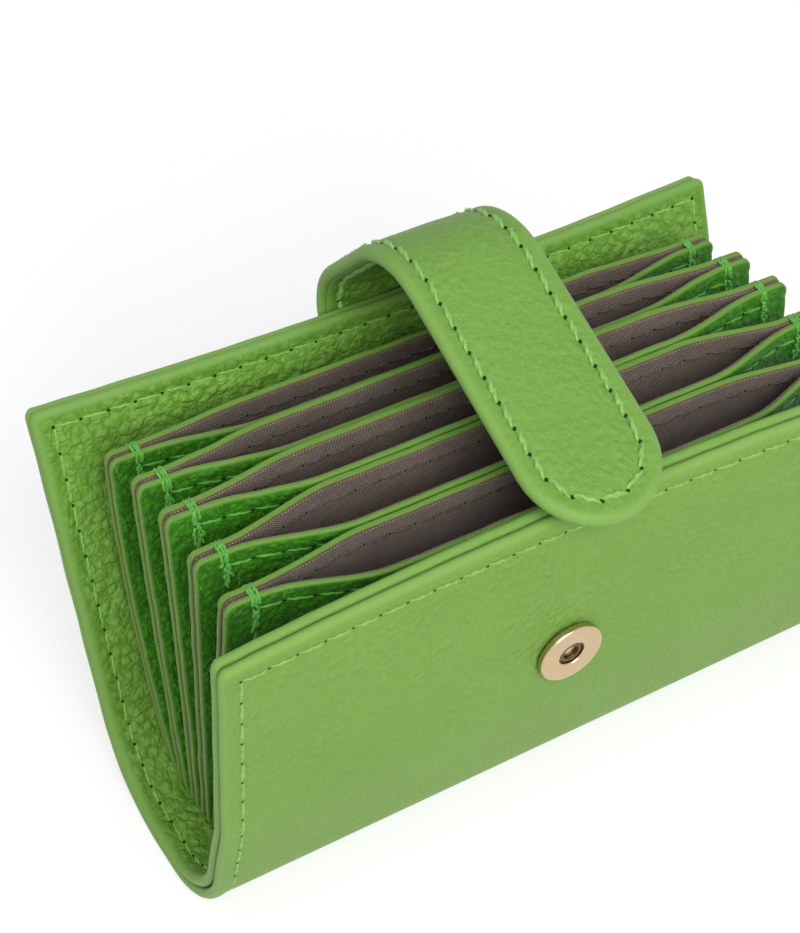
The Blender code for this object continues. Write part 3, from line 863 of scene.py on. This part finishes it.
pocketSewing = (
    ("Stitches", seamRows, deepThread, "green_leather",
     {"thick": 0.8, "slant": 0.16, "sink": 0.2, "hole": 0.9}),
    ("ClothStitches", clothRows, taupeThread, "taupe_cloth",
     {"thick": 0.95, "slant": 0.12, "sink": 0.14, "hole": 0.8}),
    ("BarTacks", tackRows, deepThread, "green_leather",
     {"thick": 0.85, "slant": 0, "sink": 0.15, "hole": 0, "fill": 1.1}),
    ("TackTails", tailRows, deepThread, "green_leather",
     {"thick": 0.8, "slant": 0, "sink": 0.12, "hole": 0, "fill": 1.1}),
)


def makePocket(number):
    body = f"pocket_{number}"
    leather = {**pocket, "near": 0, "far": pocket["leather"], "trim": 0}

    def settle(piece):
        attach(piece, body)
        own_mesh(piece)

    for side, word in ((1, "Back"), (-1, "Front")):
        panel = pocketSheet(f"pocket{number}{word}Leather", number, side, leather, pocketLeather)[0]
        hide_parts(f"pocket_{number}_{word.lower()}")
        settle(panel)
    sheets = [pocketSheet(f"pocket{number}Ply", number, side, ply, liningCloth) for side in (1, -1)]
    deselectAll()
    for sheet in sheets:
        sheet[0].select_set(True)
    cloth = sheets[0][0]
    bpy.context.view_layer.objects.active = cloth
    bpy.ops.object.join()
    cloth.name = f"pocket{number}Cloth"
    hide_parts(f"pocket_{number}_lining")
    settle(cloth)
    for word, rowsOf, threadMat, slot, sewing in pocketSewing:
        settle(sewRows(f"pocket{number}{word}", rowsOf(number), threadMat, **sewing))


for number in range(1, pocketCount + 1):
    makePocket(number)
print("pockets made")


# Strap: two leathers with a rounded edge; its free end is a half circle

strap = {
    "width": 20.8, "leather": 1, "thickness": 2.2, "rootRun": 16, "rootAbove": 1.6, "rootRadius": 10.7,
    "riseRun": 11.533, "riseHeading": math.radians(131), "topRadius": 15, "endRun": 39.174,
    "endHeading": math.radians(198.3), "rootX": -0.4, "tipX": -1.3, "rootCorner": 2, "crown": 0.25,
    "spacing": 1.3, "rowSpacing": 0.9, "liningTrim": 1, "liningRim": 0.3, "liningRimRest": 0.3,
    "stitchInset": 2.9, "pitch": 4, "stitchDepth": 0.12, "liftReach": (-4, 6), "bendReach": (-6, 6),
    "groove": 0.38, "grooveWidth": 0.7, "swell": 0.1, "swellAt": 1.4, "swellWidth": 0.7,
    "underGroove": 0.16, "underGrooveWidth": 0.5, "turnAt": 0.95, "turnWidth": 0.35,
    "creases": 0.08, "creaseSize": 2.2, "creaseMiddle": 16, "creaseReach": 11,
    "creaseStretch": 0.35, "creaseInset": 3, "crownInset": 5, "rimPlay": 0.04, "smoothAngle": 60,
}
strapSewing = {"thick": 1.5, "slant": 0.26, "sink": 0.2, "fill": 1.06, "hole": 1.25}
strapHalf = strap["width"] / 2
strapFoot = coverEnd - strap["rootAbove"] - strap["rootRun"]
strapLow = coverPoint(strap["rootX"], strapFoot, -(seatGap + strap["thickness"]))
strapHigh = coverPoint(strap["rootX"], strapFoot + strap["rootRun"], -(seatGap + strap["thickness"]))
strapHeading = math.atan2(strapHigh.z - strapLow.z, strapHigh.y - strapLow.y)
strapMoves = [("run", strap["rootRun"], 0), ("arc", strap["rootRadius"], strap["riseHeading"] - strapHeading),
              ("run", strap["riseRun"], 0),
              ("arc", strap["topRadius"], strap["endHeading"] - strap["riseHeading"]),
              ("run", strap["endRun"], 0)]
strapEnd = totalLength(strapMoves)
strapBendAt = strapEnd - strap["endRun"]
strapSplit = totalLength(strapMoves[:2]) + strap["riseRun"] / 2
strapStraight = strapEnd - strapHalf
strapRadius = strapHalf - strap["stitchInset"]
strapRowEnd = 2 * strapStraight + math.pi * strapRadius
strapPitch = evenPitch(strapRowEnd - 2 * strap["stitchInset"], strap["pitch"])


def strapPoint(across, distance, depth):
    y, z, heading = walk((strapLow.y, strapLow.z), strapHeading, strapMoves, distance)
    centre = strap["rootX"] + (strap["tipX"] - strap["rootX"]) * distance / strapEnd
    return Vector((centre + across, y - depth * math.sin(heading), z + depth * math.cos(heading)))


def strapInset(across, distance, half):
    fromTip = strapEnd - (strapHalf - half) - distance
    if fromTip < half:
        return max(0, half - math.hypot(half - fromTip, across))
    if distance > strap["rootRun"]:
        return half - abs(across)
    return min(half - abs(across), distance)


strapEdge = [0, 0.08, 0.3, 0.65, 1.05, 1.35, 1.7, 2.3, 2.9, 3.4, 4.4]
tipSteps = [10.4, 8.6, 7.2, 6, 4.9, 4, 3.2, 2.5, 1.9, 1.4, 1, 0.65, 0.38, 0.18, 0.06, 0.015]
rootSteps = [0, 0.08, 0.3, 0.65, 1.05, 1.5, 2.3, 2.9, 3.6]


def strapAlong(across, distance):
    # How far along the row of stitches the nearest place of the row lies
    if distance < strapStraight:
        return distance - strap["stitchInset"]
    turn = math.atan2(distance - strapStraight, abs(across))
    return strapStraight - strap["stitchInset"] + strapRadius * turn


def archTop(distance):
    # 1 where the strap curves most over the pockets
    return math.exp(-((distance - strapBendAt + strap["creaseMiddle"]) / strap["creaseReach"]) ** 2)


def strapSheet(name, low, high, upper, material):
    # upper leather turns round the edge; the lining lies inside that edge
    trim = 0 if upper else strap["liningTrim"]
    half = strapHalf - trim
    end = strapEnd - trim
    if low == 0:
        start = rootSteps[-1]
        count = round((high - start) / strap["rowSpacing"])
        rows = [trim] + rootSteps[1:-1] + [start + (high - start) * i / count for i in range(count + 1)]
    else:
        straightEnd = end - half
        count = round((straightEnd - low) / strap["rowSpacing"])
        rows = [low + (straightEnd - low) * i / count for i in range(count)]
        rows += [end - step * half / strapHalf for step in tipSteps]

    def upperDepth(across, row, face, inset):
        rim = strap["thickness"] / 2 - strap["rimPlay"]
        if face < 0:
            turned = (strap["leather"] - 2 * rim) * ease((inset - strap["turnAt"]) / strap["turnWidth"])
            return rim + rim * roundRim(inset, rim) + turned
        crown = strap["crown"] * (1 - (across / half) ** 2) * ease(inset / strap["crownInset"])
        depth = rim - rim * roundRim(inset, rim) - crown
        depth += groove(strap, inset, pucker(strapAlong(across, row), strapPitch), strap["stitchInset"])
        crease = strap["creases"] * uneven(across * strap["creaseStretch"], row, strap["creaseSize"], 5)
        return depth + crease * archTop(row) * ease(inset / strap["creaseInset"])

    def liningDepth(face, inset):
        rest = strap["liningRimRest"]
        full = rest + (1 - rest) * roundRim(inset, strap["liningRim"])
        depth = strap["thickness"] - strap["leather"] / 2 - face * (strap["leather"] / 2) * full
        if face < 0:
            depth -= strap["underGroove"] * dip(inset, strap["stitchInset"] - trim, strap["underGrooveWidth"])
        return depth

    def place(column, row, face):
        fromTip = end - row
        wide = half if fromTip > half else math.sqrt(max(0, half ** 2 - (half - fromTip) ** 2))
        if low == 0:
            wide -= strap["rootCorner"] * (1 - roundRim(row - rows[0], strap["rootCorner"]))
        across = (column - half) * wide / half
        inset = strapInset(across, row, half)
        depth = upperDepth(across, row, face, inset) if upper else liningDepth(face, inset)
        return strapPoint(across, row, depth), inset

    columns = edgeSpread(2 * half, strapEdge, strap["spacing"])
    return sheetBody(name, columns, rows, place, material, strap["smoothAngle"])


def strapSpot(across, distance, upper):
    depth = strap["stitchDepth"] if upper else strap["thickness"] - strap["stitchDepth"]
    return outwardAt(strapPoint, across, distance, depth, -1 if upper else 1)


def strapRowAt(position, upper):
    # Along one side, round the tip and back along the other side
    around = position - strapStraight
    if around < 0:
        return strapSpot(-strapRadius, position, upper)
    if around < math.pi * strapRadius:
        turn = around / strapRadius
        across, forward = -strapRadius * math.cos(turn), strapRadius * math.sin(turn)
        return strapSpot(across, strapStraight + forward, upper)
    return strapSpot(strapRadius, strapStraight - (around - math.pi * strapRadius), upper)


def strapStitches(upper):
    # Both runs of the arch's part reach the first stitch of the tip's part
    inset = strap["stitchInset"]
    positions = rowOf(lambda p: p, inset, strapRowEnd - inset, strap["pitch"])
    spots = [strapRowAt(p, upper) for p in positions]
    tipSpots = [i for i, p in enumerate(positions) if min(p, strapRowEnd - p) >= strapSplit]
    first, last = tipSpots[0], tipSpots[-1]
    rear, front = [spots[:first + 1], spots[last:]], [spots[first:last + 1]]
    if upper:
        rear.append(rowOf(lambda x: strapSpot(x, inset, upper), -strapRadius, strapRadius, strap["pitch"]))
    return rear, front


def blendPoints(distance, reaches):
    return [strapPoint(0, distance + reach, strap["thickness"] / 2) * mm for reach in reaches]


liftPoints = blendPoints(strap["rootRun"], strap["liftReach"])
bendPoints = blendPoints(strapBendAt, strap["bendReach"])


def lifts(piece):
    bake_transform(piece)


def bends(piece):
    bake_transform(piece)


for name, node, upper, material, slot in (
        ("strapLeather", "strap", True, strapLeather, "strap_leather"),
        ("strapLining", "strap_lining", False, liningLeather, "lining_leather")):
    rear = strapSheet(f"{name}Rear", 0, strapSplit, upper, material)
    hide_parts(f"{node}_root", f"{node}_arch")
    lifts(rear)
    front = strapSheet(f"{name}Front", strapSplit, strapEnd, upper, material)
    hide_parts(f"{node}_tip")
    bends(front)
for upper, word in ((True, "Top"), (False, "Under")):
    rearRows, frontRows = strapStitches(upper)
    lifts(sewRows(f"strapStitches{word}Rear", rearRows, greenThread, **strapSewing))
    bends(sewRows(f"strapStitches{word}Front", frontRows, greenThread, **strapSewing))
print("strap made")


# Snap: a gilt socket on the front and a stud under the strap's tip

snap = {
    "x": -4.5, "height": 37.6, "fromTip": 14,
    "rim": 0.35, "rimSegments": 4, "rimAngle": 50, "smoothAngle": 35,
    "socket": {"sides": 64, "radius": 5, "tall": 1.2, "inner": 2, "step": 0.3 - 1.2},
    "stud": {"sides": 48, "radius": 3.8, "tall": 0.7, "inner": 0.8, "step": 0.7},
}


def makeRound(name, values, seat, outward, body, node):
    # A disc whose middle is sunk or raised, bevelled and set with its axis pointing out of the leather
    deselectAll()
    bpy.ops.mesh.primitive_cylinder_add(vertices=values["sides"], radius=values["radius"] * mm,
                                        depth=values["tall"] * mm)
    piece = bpy.context.object
    piece.name = name
    bpy.ops.object.mode_set(mode="EDIT")
    bpy.ops.mesh.select_all(action="DESELECT")
    bpy.ops.object.mode_set(mode="OBJECT")
    for face in piece.data.polygons:
        face.select = face.normal.z > 0.9
    bpy.ops.object.mode_set(mode="EDIT")
    bpy.ops.mesh.inset(thickness=(values["radius"] - values["inner"]) * mm, depth=0)
    bpy.ops.mesh.extrude_region_move(TRANSFORM_OT_translate={"value": (0, 0, values["step"] * mm)})
    bpy.ops.object.mode_set(mode="OBJECT")
    bevel = piece.modifiers.new("soft rim", "BEVEL")
    bevel.width = snap["rim"] * mm
    bevel.segments = snap["rimSegments"]
    bevel.limit_method = "ANGLE"
    bevel.angle_limit = math.radians(snap["rimAngle"])
    bpy.ops.object.modifier_apply(modifier=bevel.name)
    place = seat + outward * (seatGap + values["tall"] / 2)
    piece.data.transform(Matrix.Translation(place * mm) @ turnTo(outward))
    piece.data.materials.append(gildedMetal)
    closeUp(piece, snap["smoothAngle"])
    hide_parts(node)
    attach(piece, body)


socketSeat = coverPoint(snap["x"], coverStart[1] - snap["height"], 0)
makeRound("snapSocket", snap["socket"], socketSeat, Vector((0, -1, 0)), "front", "snap_socket")
studDistance = strapEnd - snap["fromTip"]
studAcross = snap["x"] - strapPoint(0, studDistance, 0).x
studSeat = strapPoint(studAcross, studDistance, strap["thickness"])
studOutward = (studSeat - strapPoint(studAcross, studDistance, 0)).normalized()
makeRound("snapStud", snap["stud"], studSeat, studOutward, "strap_tip", "snap_stud")
print("snap made")

# CAD pieces that stay: boards inside the cover, spring ring, rivet and cap; the spring ring's metal is
# darkened as painted shade of the socket's hole
for name, material in (("board_back", fibreBoard), ("board_front", fibreBoard), ("snap_spring", springHoleShadeMetal),
                       ("socket_rivet", springSteel), ("stud_cap", springSteel)):
    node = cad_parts[name]
    node.data.materials.clear()
    node.data.materials.append(material)


# Studio

def addCamera(values):
    data = bpy.data.cameras.new("camera")
    data.lens = values["lens"]
    data.sensor_width = values["sensor"]
    data.clip_start = values["clipStart"]
    camera = addObject("camera", data)
    camera.location = values["place"]
    camera.rotation_euler = [math.radians(a) for a in values["turn"]]
    bpy.context.scene.camera = camera


def addAreaLight(name, values):
    data = bpy.data.lights.new(name, "AREA")
    data.size = values["size"]
    data.energy = values["power"]
    lamp = addObject(name, data)
    lamp.location = values["place"]
    aim = Vector(studio["aim"]) - Vector(values["place"])
    lamp.rotation_euler = aim.to_track_quat("-Z", "Y").to_euler()


def seenRays(tree):
    # 1 for camera, glossy and transmission rays: they see the pale background, which lights nothing
    rays = tree.nodes.new("ShaderNodeLightPath").outputs
    seen = worked(tree, "MAXIMUM", rays["Is Camera Ray"], rays["Is Glossy Ray"])
    return worked(tree, "MAXIMUM", seen, rays["Is Transmission Ray"])


def makeWorld():
    world = bpy.data.worlds.new("studio")
    bpy.context.scene.world = world
    world.use_nodes = True
    tree = world.node_tree
    soft = tree.nodes["Background"]
    setInputs(soft, {"Color": (1, 1, 1), "Strength": studio["worldStrength"]})
    white = addNode(tree, "ShaderNodeBackground", {"Color": (1, 1, 1)})
    mix = addNode(tree, "ShaderNodeMixShader", {
        "Fac": seenRays(tree), 1: soft.outputs["Background"], 2: white.outputs["Background"]})
    tree.links.new(mix.outputs["Shader"], tree.nodes["World Output"].inputs["Surface"])


def makeFloor():
    deselectAll()
    bpy.ops.mesh.primitive_plane_add(size=studio["floorSize"], location=(0, 0, studio["floorHeight"]))
    floor = bpy.context.object
    floor.name = "floor"
    material, tree, shader = newMaterial("pale floor")
    setInputs(shader, {
        "Base Color": studio["floorColour"], "Roughness": 0.8, "Specular IOR Level": 0.1,
        "Emission Color": (1, 1, 1),
        "Emission Strength": worked(tree, "MULTIPLY", seenRays(tree), studio["floorGlow"]),
    })
    floor.data.materials.append(material)


addCamera(cameraValues)
for name, values in lamps.items():
    addAreaLight(name, values)
makeWorld()
makeFloor()
bpy.context.scene.view_settings.view_transform = "Standard"
print("studio made")
